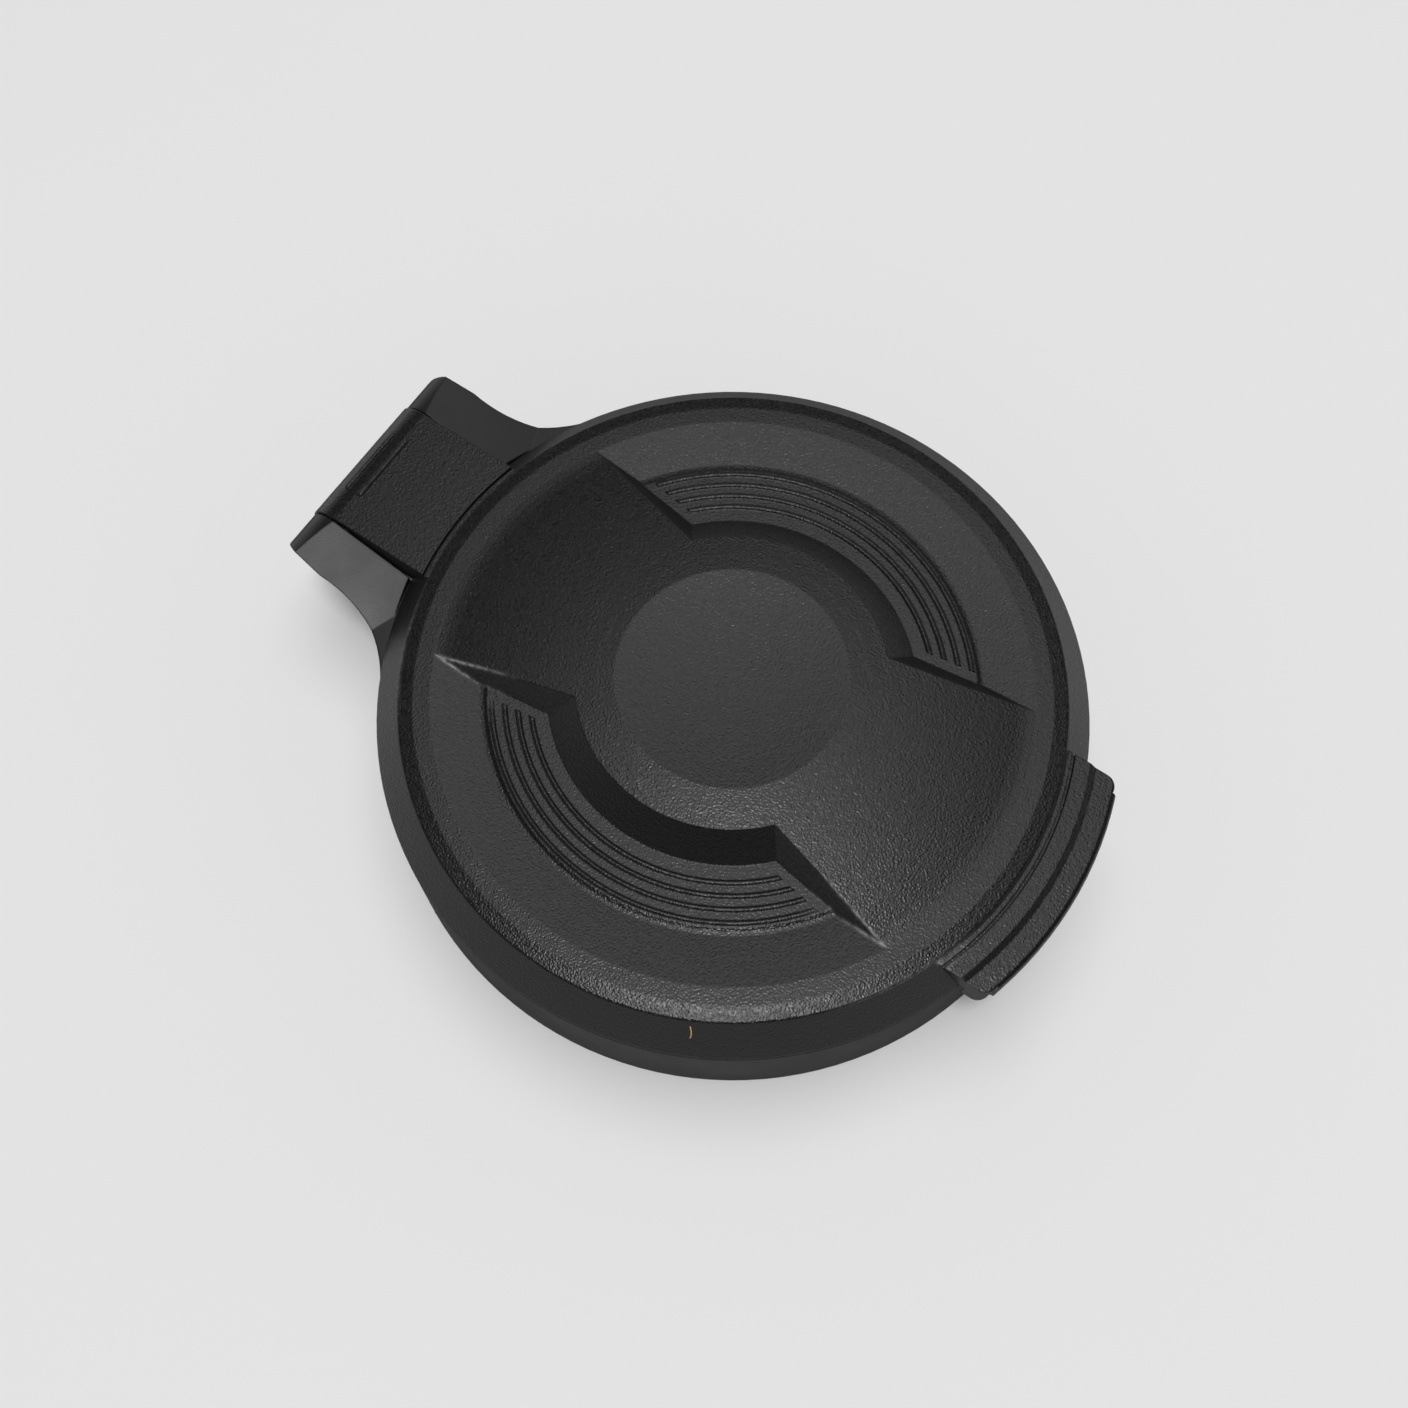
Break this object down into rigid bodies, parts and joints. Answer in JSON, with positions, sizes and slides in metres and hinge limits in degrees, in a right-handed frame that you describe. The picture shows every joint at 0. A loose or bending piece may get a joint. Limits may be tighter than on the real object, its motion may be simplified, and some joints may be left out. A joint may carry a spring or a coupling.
{
  "type": "flip-up lens cap",
  "caption": "Round push-on lens cap: a hinged lid with a raised bow-tie face, dished hub and thumb tab on a plain mounting ring.",
  "frame": {"origin": "on the ring's axis, in its foot plane, where the lens barrel enters the liner", "axes": "+Z out of the lens through the closed lid, +X from the hinge to the thumb tab, hinge axis along Y"},
  "size_m": [0.0804, 0.0676, 0.0158],
  "materials": {
    "ring_plastic": "satin black moulded plastic",
    "lid_plastic": "spark-eroded matt black with a fine sparkle",
    "liner_rubber": "matt",
    "seal_rubber": "matt",
    "pin_steel": "ground",
    "spring_steel": "drawn wire"
  },
  "bodies": {
    "ring": {"mounting_ring": "ring_plastic", "grip_liner": "liner_rubber", "hinge_pin": "pin_steel"},
    "lid": {"lid": "lid_plastic", "lid_seal": "seal_rubber", "torsion_spring": "spring_steel"}
  },
  "joints": [
    {"name": "lid_hinge", "type": "hinge", "parent": "ring", "child": "lid", "pos_m": [-0.0412, 0, 0.01035], "axis": [0, -1, 0], "range_deg": [0, 180], "deforming": ["torsion_spring"]}
  ]
}
